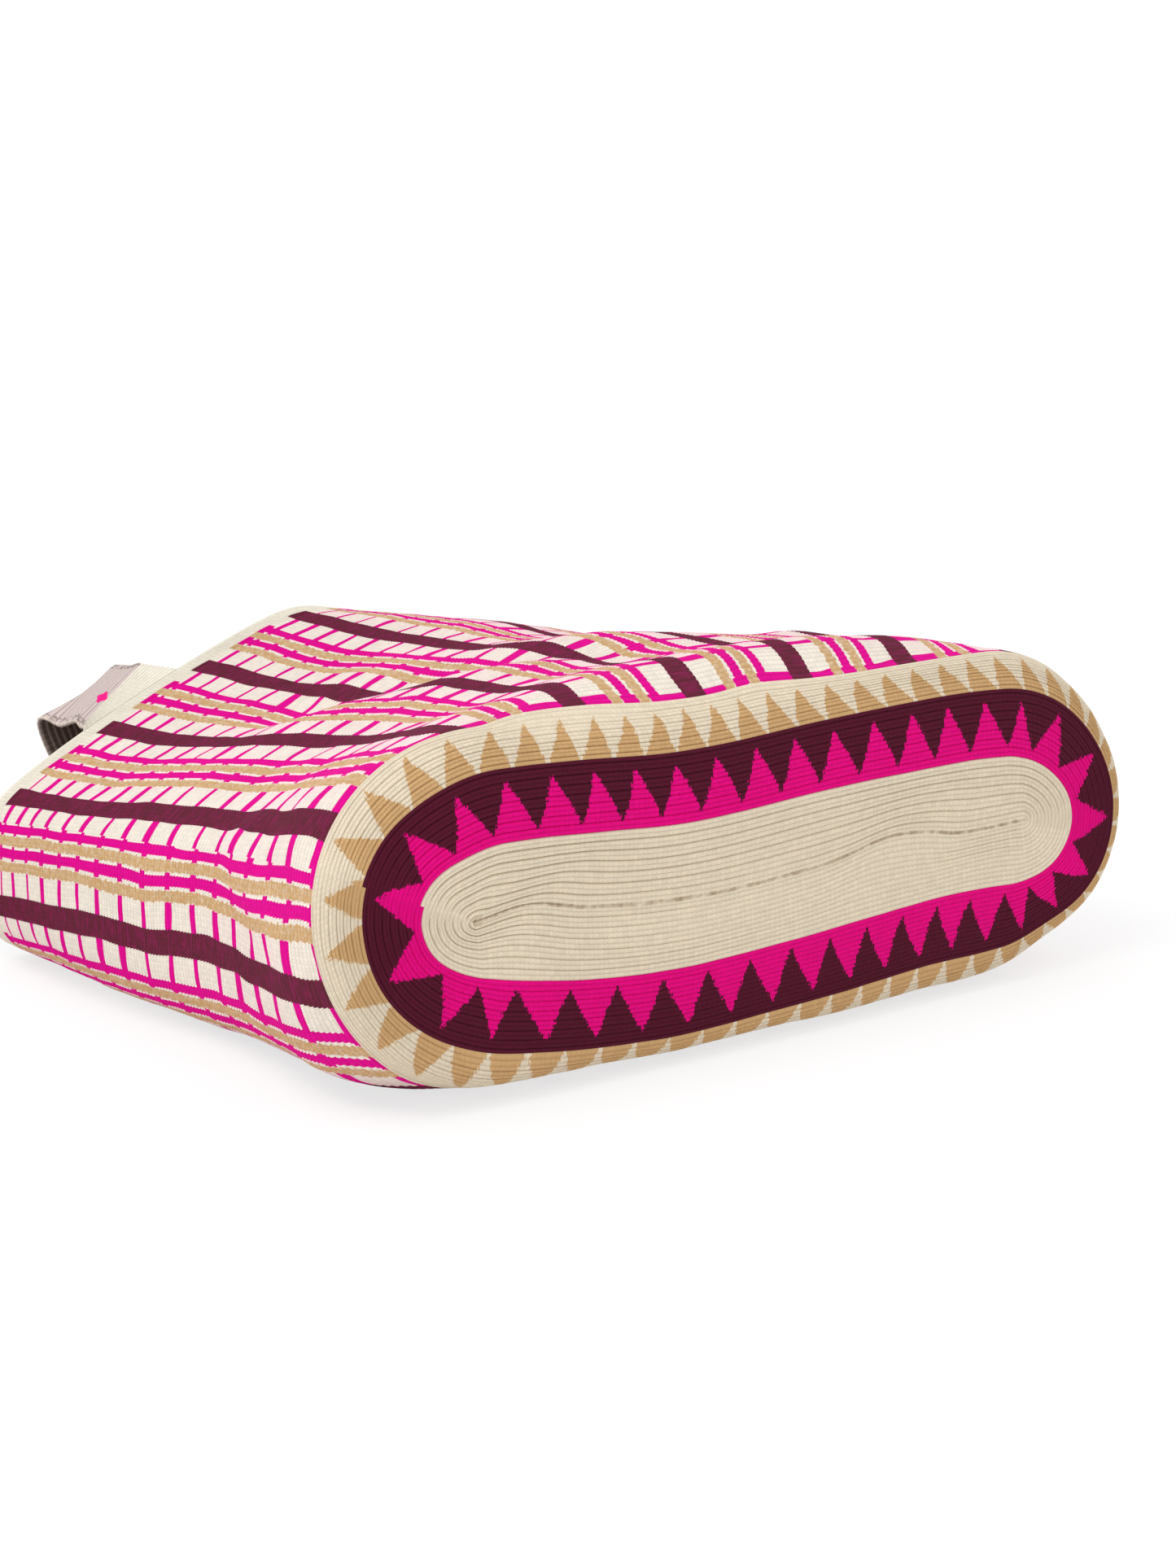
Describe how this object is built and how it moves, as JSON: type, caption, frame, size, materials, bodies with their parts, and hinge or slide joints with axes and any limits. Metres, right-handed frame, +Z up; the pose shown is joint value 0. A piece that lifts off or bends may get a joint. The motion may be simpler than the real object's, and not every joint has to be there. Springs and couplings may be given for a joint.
{
  "type": "tote bag",
  "caption": "Crocheted tote bag with an oval base, a striped wall, an open mouth and woven shoulder straps on crocheted tabs, lying on its wide side.",
  "frame": {"origin": "on the floor that the bag lies on, under the middle of the bag, 160 mm from the face of the base", "axes": "+X along the oval base, from its left end to its right end as the base is looked at; +Y from the base to the open mouth; +Z up, out of the wide side that the bag lies on"},
  "size_m": [0.437, 0.4297, 0.1608],
  "materials": {
    "crochet": "tapestry crochet in cotton yarn: cream ground, magenta, maroon and tan pattern, matte",
    "crochet_tab": "plain cream crochet, matte",
    "webbing": "flat woven band, grey-mauve on its outer face and dark brown on its inner face, matte"
  },
  "bodies": {
    "root": {"bag_shell": "crochet", "strap_tab_upper_left": "crochet_tab", "strap_tab_upper_right": "crochet_tab", "strap_tab_lower_left": "crochet_tab", "strap_tab_lower_right": "crochet_tab", "strap_upper": "webbing", "strap_lower": "webbing"}
  },
  "joints": []
}
